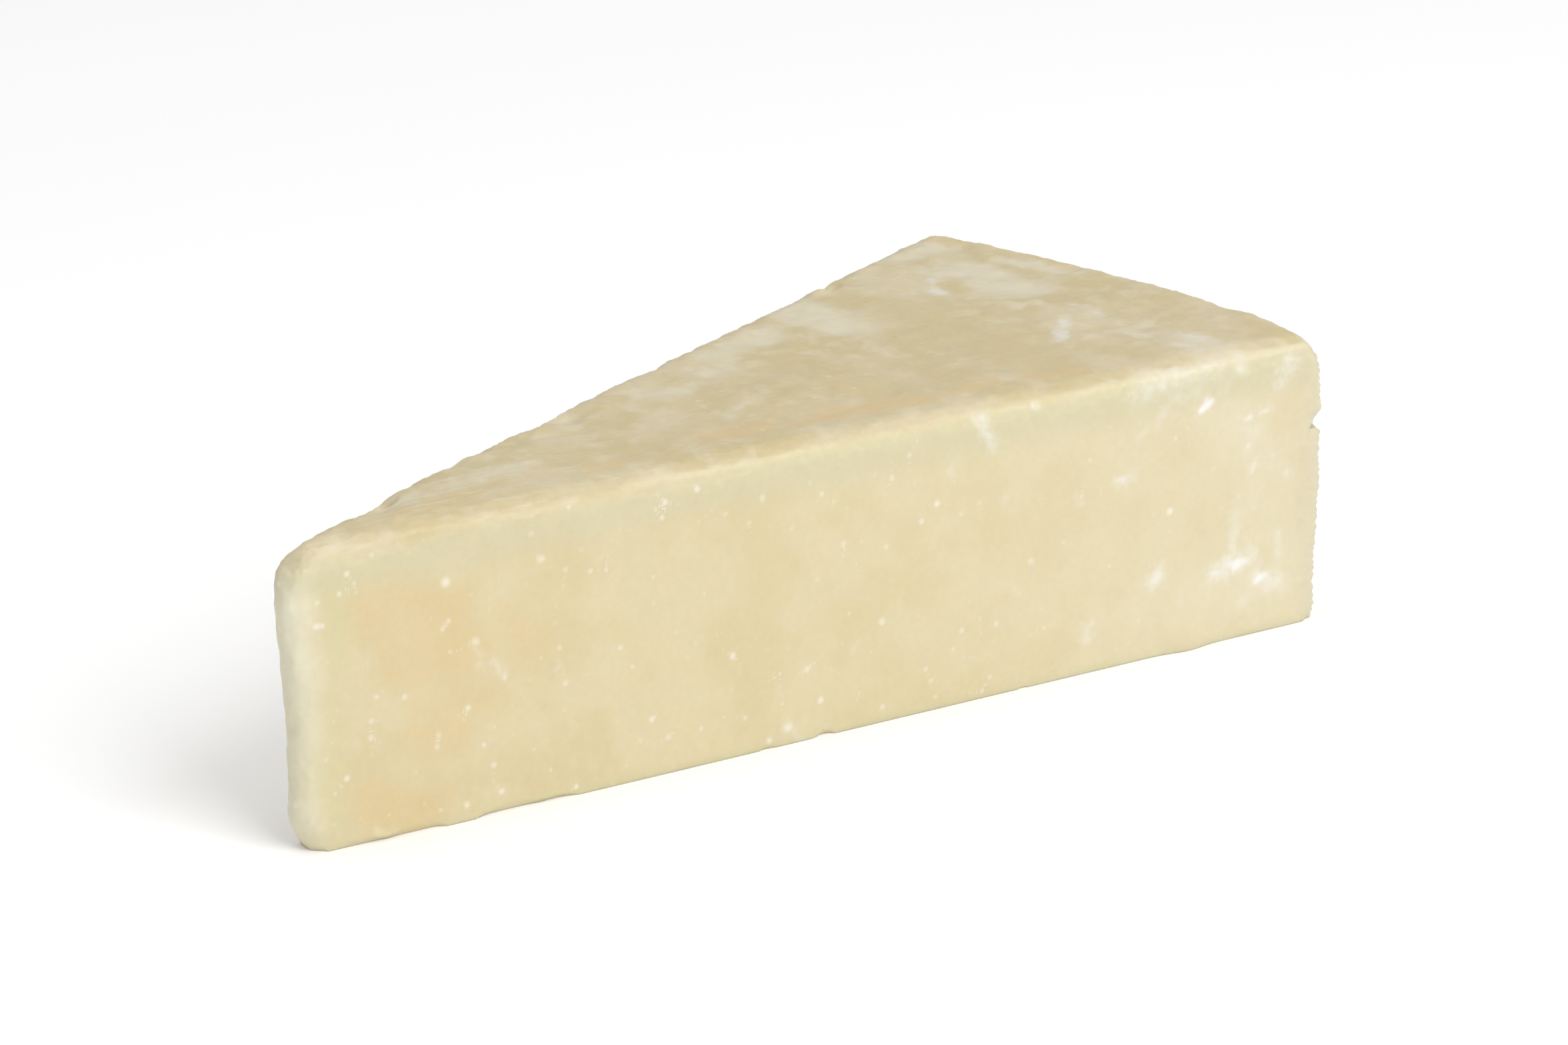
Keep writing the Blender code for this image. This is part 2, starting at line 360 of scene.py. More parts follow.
# wrinkles along the cut
alongCut = points @ np.array(Matrix.Rotation(half, 3, "Z")).T * (wedge["wrinkleStretch"], 1, 1)
wrinkles = noiseOf("wrinkle", alongCut) * np.maximum(normals[:, 2], 0)
rough = 1 - farFromEdges(points) * (normals[:, 2] < wedge["topSlope"])
rough *= smoothStep(*wedge["footCalm"], points[:, 2])
lift = noiseOf("wave", points) * wedge["waveHeight"]
lift += noiseOf("grain", points) * between(wedge["grainHeight"], rough)
lift += noiseOf("crumb", points, 2) * between(wedge["crumbHeight"], rough)
lift += ribs * wedge["ribHeight"] + lip * wedge["lipHeight"] + wrinkles * wedge["wrinkleHeight"]
points += normals * (lift * smoothStep(*wedge["footHold"], points[:, 2]))[:, None]
pressFoot(cheese, points)
print("wedge shaped:", len(cheese.data.polygons), "faces")


# fields that the material reads
def storeField(piece, name, values):
    field = piece.data.attributes.new(name, "FLOAT", "POINT")
    field.data.foreach_set("value", np.asarray(values, dtype=np.float32).ravel())


def storeVectors(piece, name, values):
    field = piece.data.attributes.new(name, "FLOAT_VECTOR", "POINT")
    field.data.foreach_set("vector", np.asarray(values, dtype=np.float32).ravel())


points = meshPoints(cheese)
normals = meshNormals(cheese)
under = depths(points)
for name in ("top", "rim", "nose"):
    storeField(cheese, name + "Depth", under[name] / millimetre)
# how near the corner between a cut and the rim lies
cornerReach = {"cut": 2.4, "rim": 2.6}      # millimetres
fromCut = np.minimum(under["front"], under["back"]) / millimetre / cornerReach["cut"]
fromRim = under["rim"] / millimetre / cornerReach["rim"]
storeField(cheese, "corner", np.exp(-fromCut ** 2 - fromRim ** 2))

# marks on the cheese, each a soft stroke: from pixel, to pixel, half width in millimetres, strength
marks = {
    "bloomFront": [
        # bright hearts
        (1803, 609, 1809, 603, 1.0, 1.09), (1821, 588, 1825, 584, 0.8, 0.76), (1873, 630, 1874, 626, 0.9, 0.84),
        (1888, 621, 1902, 615, 0.6, 0.71), (1874, 666, 1877, 663, 0.8, 0.8), (1880, 707, 1881, 703, 0.8, 0.84),
        (1930, 711, 1931, 708, 0.7, 0.71), (1684, 721, 1689, 717, 0.8, 1.01), (1697, 715, 1701, 713, 0.6, 0.67),
        (1852, 846, 1865, 838, 0.95, 1.26), (1847, 853, 1850, 849, 0.7, 1.01), (1820, 860, 1824, 856, 0.8, 0.84),
        (1886, 866, 1892, 867, 0.95, 1.26), (1901, 873, 1904, 874, 0.7, 0.92), (1557, 610, 1558, 603, 0.6, 0.84),
        (1469, 618, 1474, 626, 0.7, 0.67), (1483, 650, 1488, 660, 0.6, 0.76), (1512, 742, 1515, 740, 0.6, 0.67),
        # soft clouds round them
        (1798, 612, 1828, 583, 2.0, 0.52), (1872, 634, 1876, 618, 1.9, 0.44), (1884, 622, 1909, 611, 1.6, 0.44),
        (1876, 670, 1884, 648, 1.8, 0.44), (1879, 710, 1881, 700, 1.6, 0.44), (1930, 718, 1932, 704, 1.7, 0.39),
        (1680, 724, 1708, 711, 1.6, 0.52), (1822, 858, 1870, 835, 2.6, 0.66), (1852, 836, 1853, 780, 1.9, 0.52),
        (1864, 826, 1874, 806, 1.5, 0.39), (1880, 864, 1910, 875, 2.2, 0.61), (1888, 880, 1864, 900, 1.4, 0.44),
        (1918, 832, 1921, 800, 1.7, 0.52), (1726, 874, 1737, 860, 2.4, 0.66), (1745, 637, 1752, 623, 2.0, 0.49),
        (1715, 652, 1722, 644, 1.6, 0.44), (1626, 956, 1628, 941, 1.7, 0.61), (1712, 592, 1796, 563, 2.2, 0.57),
        (1736, 572, 1830, 550, 1.9, 0.57), (1766, 596, 1822, 572, 1.6, 0.49), (1862, 556, 1864, 538, 2.0, 0.61),
        (1920, 572, 1938, 542, 1.8, 0.66), (1464, 612, 1490, 664, 1.6, 0.61), (849, 1078, 861, 1172, 1.0, 0.35),
        (732, 991, 757, 1016, 0.8, 0.57), (757, 1016, 793, 1050, 0.8, 0.39), (711, 966, 717, 997, 1.1, 0.44),
        (818, 978, 846, 1022, 0.8, 0.49), (1422, 708, 1429, 699, 1.8, 0.44), (1390, 808, 1408, 828, 1.6, 0.35),
        (1178, 1085, 1200, 1104, 1.6, 0.49), (1274, 976, 1287, 964, 1.1, 0.52), (850, 1071, 950, 1062, 1.0, 0.22),
        (566, 1245, 578, 1246, 1.0, 0.44), (1504, 750, 1518, 738, 1.3, 0.44), (1508, 880, 1519, 892, 1.3, 0.44),
        (1660, 1008, 1720, 995, 1.0, 0.27), (1887, 756, 1888, 744, 1.5, 0.44), (440, 880, 442, 900, 2.0, 0.35),
        (436, 962, 442, 978, 1.2, 0.35), (800, 1124, 826, 1155, 0.8, 0.22), (830, 930, 842, 965, 1.1, 0.27),
        (1595, 815, 1601, 809, 1.2, 0.39), (1622, 746, 1620, 742, 1.1, 0.39), (1850, 650, 1930, 660, 3.0, 0.27),
    ],
    "bloomTop": [
        (1394, 414, 1412, 436, 1.2, 0.95), (1369, 438, 1374, 436, 0.9, 0.7), (1428, 450, 1458, 456, 1.0, 0.5),
        (1380, 420, 1440, 405, 2.6, 0.4), (1592, 508, 1598, 480, 1.3, 0.9), (1576, 510, 1606, 500, 1.0, 0.6),
        (1560, 484, 1605, 490, 2.8, 0.4), (1622, 455, 1652, 468, 2.6, 0.6), (1625, 452, 1640, 444, 1.6, 0.5),
        (1682, 492, 1728, 502, 1.1, 0.65), (1770, 498, 1800, 506, 2.6, 0.65), (1752, 515, 1790, 520, 2.2, 0.55),
        (1690, 438, 1710, 440, 2.0, 0.45), (1090, 622, 1118, 606, 1.3, 0.6), (1120, 588, 1142, 577, 1.2, 0.5),
        (1035, 642, 1060, 634, 1.1, 0.45), (1044, 600, 1048, 598, 0.6, 0.6), (1480, 553, 1504, 551, 2.0, 0.35),
        (1340, 583, 1404, 584, 0.4, 0.45), (975, 592, 990, 585, 1.3, 0.45), (950, 655, 962, 648, 1.0, 0.4),
        (1462, 610, 1540, 596, 0.5, 0.35), (1420, 396, 1446, 390, 1.2, 0.4), (1480, 420, 1530, 436, 2.0, 0.35),
        (1290, 557, 1312, 561, 0.5, 0.75), (930, 602, 952, 594, 0.9, 0.4),
    ],
    "paleTop": [
        (1440, 398, 1530, 428, 6.0, 0.9), (1180, 455, 1235, 480, 5.0, 1.0), (1250, 490, 1340, 480, 3.2, 0.8),
        (1255, 470, 1330, 470, 2.6, 0.6), (1540, 455, 1680, 480, 4.0, 0.55), (1070, 530, 1160, 500, 4.0, 0.8),
        (1060, 560, 1140, 540, 2.6, 0.6), (900, 620, 1040, 570, 3.2, 0.5), (1340, 385, 1400, 372, 4.0, 0.7),
        (620, 745, 800, 690, 3.0, 0.7), (1690, 490, 1820, 520, 3.4, 0.6), (1850, 528, 1965, 548, 3.0, 0.4),
        (1500, 385, 1610, 405, 2.2, 0.9), (1680, 415, 1720, 435, 2.0, 0.5), (1490, 480, 1560, 500, 2.0, 0.35),
        (440, 850, 520, 810, 3.0, 0.8),
    ],
    "darkTop": [
        (1360, 470, 1560, 540, 6.5, 1.0), (1180, 545, 1340, 580, 5.5, 0.9), (1640, 520, 1720, 530, 3.4, 0.8),
        (1700, 395, 1830, 440, 3.5, 0.6), (1400, 560, 1570, 545, 3.0, 0.9), (940, 680, 1060, 625, 3.0, 0.7),
        (1255, 448, 1360, 455, 2.6, 0.8), (820, 690, 900, 670, 2.6, 0.6), (1660, 440, 1740, 470, 2.4, 0.5),
        (1080, 590, 1200, 560, 3.0, 0.6), (1830, 500, 1880, 495, 3.0, 0.5), (1130, 650, 1260, 620, 2.4, 0.7),
        (1420, 380, 1520, 395, 2.0, 0.4),
    ],
    "warmTop": [
        (1255, 612, 1390, 596, 2.4, 1.0), (1065, 655, 1145, 632, 2.6, 1.0), (1195, 632, 1260, 620, 2.0, 0.9),
        (1445, 585, 1485, 573, 1.8, 0.9), (1540, 563, 1620, 552, 2.0, 0.9), (1270, 580, 1330, 590, 3.0, 0.6),
        (655, 748, 710, 738, 2.0, 0.8), (885, 700, 935, 688, 1.8, 0.8), (585, 770, 665, 755, 1.6, 0.8),
        (1480, 370, 1560, 380, 2.4, 0.5), (975, 665, 1010, 655, 1.5, 0.6), (790, 705, 830, 690, 1.6, 0.5),
        (1750, 440, 1850, 460, 3.0, 0.4),
    ],
    "warmFront": [
        (560, 930, 680, 925, 5.0, 0.9), (600, 990, 700, 975, 5.5, 1.0), (760, 930, 800, 970, 4.4, 0.8),
        (640, 1060, 760, 1040, 4.4, 0.65), (620, 1100, 690, 1090, 3.4, 0.8), (640, 1130, 690, 1110, 4.4, 0.5),
        (560, 1205, 640, 1215, 4.2, 0.9), (600, 1180, 600, 1235, 3.4, 0.6), (850, 900, 900, 930, 4.0, 0.4),
        (880, 850, 1000, 900, 6.0, 0.25), (1200, 960, 1500, 880, 9.0, 0.2), (1700, 760, 1800, 700, 5.0, 0.25),
    ],
    "greenFront": [
        (1080, 705, 1450, 640, 2.2, 0.7), (1450, 610, 1700, 572, 1.8, 1.0), (1180, 690, 1330, 665, 2.8, 0.6),
        (500, 880, 490, 1240, 3.4, 0.7), (560, 1090, 600, 1060, 4.0, 0.3), (470, 870, 600, 830, 3.0, 0.5),
        (620, 820, 900, 760, 2.4, 0.5), (1250, 740, 1300, 780, 5.0, 0.3), (1420, 690, 1560, 640, 3.4, 0.4),
        (560, 1252, 1200, 1110, 1.4, 0.6), (1200, 1100, 1960, 930, 1.2, 0.5),
    ],
    "paleFront": [
        (1830, 620, 1900, 700, 6.0, 0.7), (1780, 900, 1920, 880, 6.0, 0.7), (1650, 930, 1800, 900, 5.0, 0.5),
        (1300, 1000, 1500, 960, 6.0, 0.3), (1600, 640, 1700, 700, 5.0, 0.35), (900, 800, 1000, 850, 5.0, 0.25),
        (1730, 580, 1900, 545, 2.4, 0.8), (1350, 680, 1500, 700, 4.0, 0.3), (1880, 760, 1940, 820, 5.0, 0.6),
        (1820, 560, 1950, 545, 2.4, 0.4),
    ],
}
hidden = {
    # the same kinds of marks on the sides that the photo doesn't show
    "seed": 23,
    "kinds": {
        "bloom": (46, (0.3, 1.3), (0.0, 3.5), (0.5, 1.0)),      # count, half width, length, strength
        "pale": (14, (2.5, 6.0), (2.0, 12.0), (0.3, 0.7)),
        "dark": (10, (2.0, 4.5), (2.0, 14.0), (0.4, 0.8)),
        "warm": (12, (2.0, 4.5), (2.0, 12.0), (0.3, 0.8)),
        "green": (8, (1.5, 4.0), (4.0, 16.0), (0.2, 0.5)),
    },
}
# how far a face has to turn to a side to belong to it
sides = {"front": (0.15, 0.5), "top": (0.45, 0.8), "unseen": 0.9, "half": 0.5}
frontSide = smoothStep(*sides["front"], normals @ outOfCut)
topSide = smoothStep(*sides["top"], normals[:, 2])
hiddenSide = (1 - frontSide) * (1 - topSide)

# the marks are laid on slightly crumpled places, which makes their outlines uneven
ragged = [
    {"size": 0.0012, "reach": 0.0005, "seed": 41},
    {"size": 0.005, "reach": 0.0008, "seed": 51},
]
crumpled = points + np.stack([
    sum(noiseAt(points, layer["size"], layer["seed"] + axis, 2) * layer["reach"] for layer in ragged)
    for axis in range(3)
], axis=1)
shortest = 1e-12        # keeps a stroke without length from dividing by nothing


def stroke(start, end, halfWidth):
    # 1 along a stroke, falling off smoothly beside it
    line = end - start
    share = np.clip((crumpled - start) @ line / max(line @ line, shortest), 0, 1)
    away = np.linalg.norm(crumpled - start - share[:, None] * line, axis=1)
    return np.exp(-(away / (halfWidth * millimetre)) ** 2)


def strokes(kind, place, onSide):
    field = np.zeros(len(points))
    for x0, y0, x1, y1, halfWidth, strength in marks[kind]:
        field = np.maximum(field, strength * stroke(np.array(place(x0, y0)), np.array(place(x1, y1)), halfWidth))
    return field * onSide


def hiddenStrokes(kind, dice):
    count, halfWidths, lengths, strengths = hidden["kinds"][kind]
    places = np.flatnonzero(hiddenSide > sides["unseen"])
    field = np.zeros(len(points))
    for start in points[dice.choice(places, count)]:
        turn = dice.normal(size=3)
        end = start + turn / np.linalg.norm(turn) * dice.uniform(*lengths) * millimetre
        field = np.maximum(field, dice.uniform(*strengths) * stroke(start, end, dice.uniform(*halfWidths)))
    return field * hiddenSide


dice = np.random.default_rng(hidden["seed"])
fields = {
    "bloom": strokes("bloomFront", onFront, frontSide) + strokes("bloomTop", onTop, topSide),
    "pale": strokes("paleFront", onFront, frontSide) + strokes("paleTop", onTop, topSide),
    "dark": strokes("darkTop", onTop, topSide),
    "warm": strokes("warmFront", onFront, frontSide) + strokes("warmTop", onTop, topSide),
    "green": strokes("greenFront", onFront, frontSide),
}
for kind, values in fields.items():
    storeField(cheese, kind, values + hiddenStrokes(kind, dice))

# white specks: those that show in the photo, by size, and more of the same on the hidden sides
specks = {
    "large": [
        (667, 873), (809, 837), (711, 961), (1141, 746), (1404, 755), (1321, 932), (1097, 983), (977, 1078),
        (1230, 1050), (1181, 1090), (459, 1205), (1754, 767), (1543, 841), (1557, 607),
    ],
    "medium": [
        (1045, 734), (997, 753), (992, 776), (1086, 770), (1121, 783), (1151, 789), (1185, 792), (1231, 740),
        (1263, 814), (1290, 812), (1327, 820), (1381, 782), (1440, 771), (1362, 682), (1336, 716), (908, 854),
        (1223, 868), (1334, 870), (1438, 895), (1271, 919), (1468, 927), (1493, 937), (1440, 945), (1428, 973),
        (1150, 973), (929, 971), (947, 999), (1209, 1004), (1168, 1010), (1387, 1003), (1394, 1020), (1483, 1015),
        (1401, 1044), (1472, 1036), (1084, 1075), (1115, 1076), (1171, 1055), (1322, 1060), (1050, 1093),
        (1001, 1105), (961, 1110), (1153, 1111), (520, 861), (508, 891), (795, 800), (869, 823), (846, 853),
        (884, 856), (978, 865), (474, 940), (483, 939), (671, 931), (662, 943), (673, 977), (837, 971),
        (809, 986), (756, 1016), (847, 1024), (564, 1045), (605, 1045), (555, 1081), (555, 1106), (656, 1102),
        (654, 1119), (701, 1062), (725, 1117), (740, 1147), (752, 1187), (864, 1180), (520, 1168), (470, 1229),
        (699, 1207), (1555, 853), (1593, 812), (1662, 848), (1564, 941), (1493, 935),
    ],
    "small": [
        (982, 764), (1065, 765), (1075, 768), (1047, 782), (1040, 800), (1249, 752), (1208, 760), (1370, 724),
        (977, 865), (1055, 891), (1162, 869), (1237, 893), (1283, 871), (1088, 945), (1211, 955), (1220, 994),
        (1410, 1002), (1422, 1023), (1453, 1039), (1445, 986), (984, 1072), (1090, 1049), (1283, 1049),
        (1172, 1075), (530, 875), (558, 833), (658, 793), (793, 831), (746, 873), (705, 891), (852, 816),
        (853, 761), (929, 794), (801, 745), (614, 932), (764, 944), (476, 905), (425, 962), (583, 1027),
        (573, 1076), (501, 1083), (741, 1090), (800, 1124), (826, 1155), (963, 1110), (468, 1099), (490, 1141),
        (503, 1191), (661, 1215), (583, 1222), (433, 1056), (1634, 690), (1621, 744), (1537, 739), (1468, 753),
        (1496, 864), (1468, 925), (1634, 833), (1545, 905), (1859, 746), (1764, 658),
    ],
    "top": [
        (1242, 522), (1332, 546), (1301, 560), (1309, 560), (1243, 564), (1282, 579), (1222, 594), (1277, 602),
        (1202, 625), (1202, 643), (1144, 642), (1106, 637), (1047, 599),
    ],
    # half width in millimetres, strength
    "sizes": {"large": (0.54, 0.95), "medium": (0.38, 0.78), "small": (0.27, 0.5), "top": (0.36, 0.7)},
    "seed": 5,
    "hiddenCount": 700,
    "hiddenSizes": ("large", "medium", "medium", "medium", "small", "small", "small", "small"),
    "faintCount": 260,              # on the sides that the photo shows
    "faintSize": (0.16, 0.3),
    "faintStrength": 0.2,
    "onRind": 0.2,                  # share of them that the rind keeps
    "rindDepth": 2.0,               # millimetres
    "gap": 1.0,                     # least distance between two, millimetres
    "shownSpread": (0.8, 1.15),     # how the half widths differ
    "hiddenSpread": (0.7, 1.15),
}


def scatterSpecks():
    dice = np.random.default_rng(specks["seed"])
    found = []
    for kind, (radius, strength) in specks["sizes"].items():
        place = onTop if kind == "top" else onFront
        for px, py in specks[kind]:
            found.append((place(px, py), radius * dice.uniform(*specks["shownSpread"]), strength))
    rind = np.minimum(under["top"], under["rim"]) < specks["rindDepth"] * millimetre
    gap = specks["gap"] * millimetre
    shown = np.flatnonzero(hiddenSide < sides["half"])
    unseen = np.flatnonzero(hiddenSide >= sides["half"])
    for places, count in ((unseen, specks["hiddenCount"]), (shown, specks["faintCount"])):
        for index in dice.choice(places, count):
            keep, spot = dice.random(), Vector(points[index])
            if rind[index] and keep > specks["onRind"]:
                continue
            if min((spot - other[0]).length for other in found) < gap:
                continue
            if places is shown:
                found.append((spot, dice.uniform(*specks["faintSize"]), specks["faintStrength"]))
            else:
                radius, strength = specks["sizes"][dice.choice(specks["hiddenSizes"])]
                found.append((spot, radius * dice.uniform(*specks["hiddenSpread"]), strength))
    return found


def storeSpecks():
    # each point learns how far off its nearest speck is, so the material can draw it finer than the mesh
    allSpecks = scatterSpecks()
    tree = kdtree.KDTree(len(allSpecks))
    for index, (spot, radius, strength) in enumerate(allSpecks):
        tree.insert(spot, index)
    tree.balance()
    offsets, distances, strengths = np.empty((len(points), 3)), np.empty(len(points)), np.empty(len(points))
    for index, point in enumerate(points):
        spot, nearest, distance = tree.find(point)
        offsets[index] = (point - np.array(spot)) / (allSpecks[nearest][1] * millimetre)
        distances[index] = distance / millimetre
        strengths[index] = allSpecks[nearest][2]
    storeVectors(cheese, "speckOffset", offsets)
    storeField(cheese, "speckDistance", distances)
    storeField(cheese, "speckStrength", strengths)
    print("marks laid:", len(allSpecks), "specks")


storeSpecks()


# material
class Nodes:
    # short ways to add the nodes of one material
    def __init__(self, name):
        self.material = bpy.data.materials.new(name)
        self.material.use_nodes = True
        self.tree = self.material.node_tree
        self.tree.nodes.clear()
        self.coordinates = self.add("ShaderNodeTexCoord").outputs["Object"]

    def add(self, kind, inputs=None, **settings):
        node = self.tree.nodes.new(kind)
        for name, value in settings.items():
            setattr(node, name, value)
        for name, value in (inputs or {}).items():
            if isinstance(value, bpy.types.NodeSocket):
                self.tree.links.new(value, node.inputs[name])
            else:
                node.inputs[name].default_value = value
        return node

    def math(self, operation, a, b):
        return self.add("ShaderNodeMath", {0: a, 1: b}, operation=operation).outputs[0]

    def plus(self, a, b):
        return self.math("ADD", a, b)

    def times(self, a, b):
        return self.math("MULTIPLY", a, b)

    def opposite(self, value):
        return self.math("SUBTRACT", 1.0, value)

    def field(self, name, output="Fac"):
        return self.add("ShaderNodeAttribute", attribute_name=name).outputs[output]

    def noise(self, size, detail, roughness, coordinates=None):
        # lumps of about that many millimetres, 0 to 1
        inputs = {"Vector": coordinates or self.coordinates, "Scale": 1 / (size * millimetre), "Detail": detail,
                  "Roughness": roughness}
        return self.add("ShaderNodeTexNoise", inputs).outputs["Fac"]

    def ramp(self, value, low, high):
        # from 0 at low to 1 at high, eased at both ends
        inputs = {"Value": value, "From Min": low, "From Max": high}
        return self.add("ShaderNodeMapRange", inputs, interpolation_type="SMOOTHSTEP").outputs["Result"]

    def span(self, value, source, target):
        # carries one range over to another
        names = ("From Min", "From Max", "To Min", "To Max")
        inputs = {"Value": value, **dict(zip(names, (*source, *target)))}
        return self.add("ShaderNodeMapRange", inputs).outputs["Result"]

    def mix(self, amount, a, b, blend="MIX"):
        # the sockets 0, 6 and 7 are the amount and the two colours
        node = self.add("ShaderNodeMix", data_type="RGBA", blend_type=blend, clamp_factor=True)
        for slot, value in ((0, amount), (6, a), (7, b)):
            if isinstance(value, bpy.types.NodeSocket):
                self.tree.links.new(value, node.inputs[slot])
            else:
                node.inputs[slot].default_value = value
        return node.outputs[2]


exposure = 1.16     # how much more light falls on the wedge than a picture of white paper keeps


def colour(red, green, blue):
    # from the 0 to 255 of a picture to Blender's linear light
    out = []
    for part in (red, green, blue):
        part = part / 255
        out.append(part / 12.92 if part <= 0.04045 else ((part + 0.055) / 1.055) ** 2.4)
    return (*(part / exposure for part in out), 1.0)


cheeseLook = {
    "paste": colour(224, 211, 173),
    "pasteDeep": colour(221, 206, 165),
    "pastePale": colour(232, 223, 194),
    "pasteWarm": colour(224, 199, 149),
    "pasteGreen": colour(218, 211, 165),
    # the paste just under the rind: its own greener tone, darkened further as painted shade on the rounded top
    # edge, where the lamps light it
    "underRindAndShade": colour(215, 208, 174),
    # partly the nose's own paler, greyer tone, partly painted light: lighter to make up for the shade the rounded
    # nose gets, facing away from the key lamp
    "nose": colour(234, 230, 206),
    "rind": colour(217, 203, 169),
    "rindDark": colour(209, 193, 150),
    "rindPale": colour(224, 216, 191),
    "rindWarm": colour(217, 193, 146),
    # a pale line where the rind ends on the cuts: the lip's own paler colour, with a painted highlight along the
    # edge
    "rindLine": colour(227, 219, 190),
    "corner": colour(215, 209, 186),
    "bloom": colour(245, 244, 239),
    "rindBloom": colour(229, 225, 213),
    "speck": colour(244, 238, 222),
    "mottle": (0.985, 1.015),
    "roughness": (0.42, 0.58),
    "bump": 0.2,
    "bumpDepth": 0.0002,
    "inside": {
        "IOR": 1.45, "Subsurface Weight": 0.5, "Subsurface Radius": (1.0, 0.7, 0.35), "Subsurface Scale": 0.003,
    },
}
# how the colours are laid on, sizes and depths in millimetres
laying = {
    "noises": {                 # size, detail, roughness
        "lumps": (9, 3, 0.5),
        "patches": (3.2, 3, 0.5),
        "fine": (0.9, 3, 0.5),
        "streaks": (0.8, 4, 0.6),
        "broadStreaks": (2.6, 3, 0.55),
        "flecks": (1.5, 5, 0.65),
        "speckRim": (0.7, 2, 0.5),
        "pores": (0.35, 2, 0.5),
        "swells": (2.6, 2, 0.5),
    },
    "ramps": {                  # where each starts, and where it is full
        "mark": (0.2, 0.9),
        "behindTip": (15, 80),
        "deepPaste": (0.4, 0.66),
        "paleEnd": (60, 150),
        "palePatch": (0.55, 0.72),
        "behindNose": (0.3, 5.5),
        "lightRind": (0.38, 0.64),
        "rindPatch": (0.5, 0.7),
        "paleStreak": (0.52, 0.7),
        "darkStreak": (0.5, 0.32),
        "sharpRind": (0.5, 1.9),
        "softRind": (-0.6, 5.0),
        "rimRind": (0.3, 1.3),
        "brokenLine": (0.35, 0.6),
        "bloom": (0.0, 1.3),
        "bloomHold": (0.0, 0.8),
        "speck": (0.0, 1.7),    # in half widths of the speck
    },
    "bands": {                  # where each starts, is full, starts to fade, and ends
        # the band under the rind: the paste's own greener tone, with painted shade on the rounded top edge
        "underRindAndShade": (1.4, 2.4, 3.5, 8.0),
        "rindLine": (0.9, 1.3, 1.45, 2.0),
    },
    "swings": {                 # how far the noises move the borders
        "mark": 0.5,
        "lumps": 1.6,
        "patches": 1.4,
        "streaks": 6.0,
        "flecks": 1.3,
        "fleckPatches": 0.5,
        "speckRim": 0.5,
    },
    "shares": {
        "streaksBehindTip": 0.25,
        "edgeOnTop": 0.35,
        "edgeOnRim": 0.4,
        "paleEnd": 0.4,
        "palePatch": 0.12,
        "pale": 0.6,
        "green": 0.6,
        "warm": 0.5,
        "nose": 0.9,
        "underRindAndShade": 0.75,
        "rindPatch": 0.4,
        "rindPale": 0.8,
        "rindDark": 0.85,
        "rindWarm": 0.8,
        "paleStreak": (0.45, 0.12),     # at the tip, and everywhere
        "darkStreak": (0.5, 0.12),
        "corner": 0.8,
        "rindLine": 0.5,
        "fineBump": 0.5,
        "poreBump": 0.25,
        "swellBump": 0.6,
    },
    "drawTogether": (0.16, 1, 1),
    "noiseSpan": (0.3, 0.7),
    "speckReach": 1.0,
}


